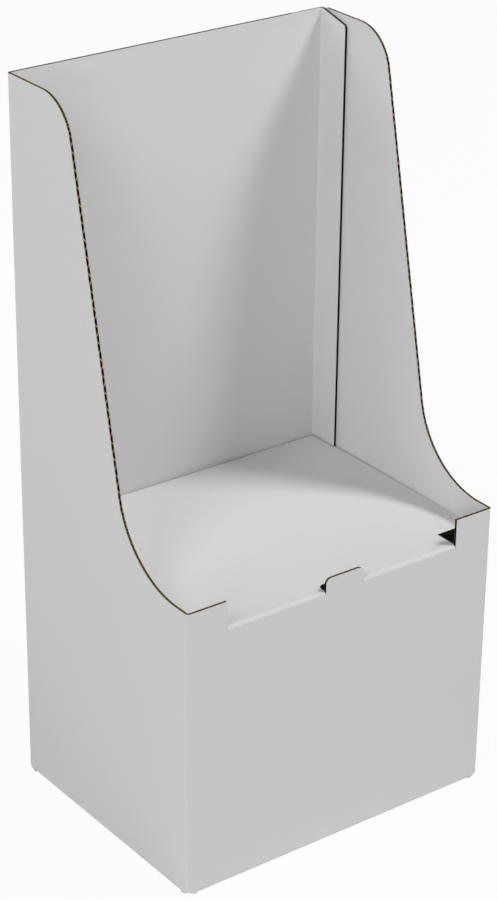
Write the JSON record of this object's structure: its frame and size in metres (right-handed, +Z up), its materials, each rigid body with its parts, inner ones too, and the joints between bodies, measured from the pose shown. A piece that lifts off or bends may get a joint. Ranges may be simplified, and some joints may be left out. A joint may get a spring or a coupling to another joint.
{
  "type": "cardboard display stand",
  "caption": "White corrugated cardboard display stand folded from one sheet, with raked side walls, a shelf behind a low front lip and a tall back.",
  "frame": {"origin": "on the floor, at the middle of the footprint", "axes": "+Z up, +Y towards the back wall, +X to the right as seen from the front"},
  "size_m": [0.39, 0.301, 0.795],
  "materials": {
    "white_board": "matte white lined corrugated board"
  },
  "bodies": {
    "root": {"folded_stand": "white_board"}
  },
  "joints": []
}
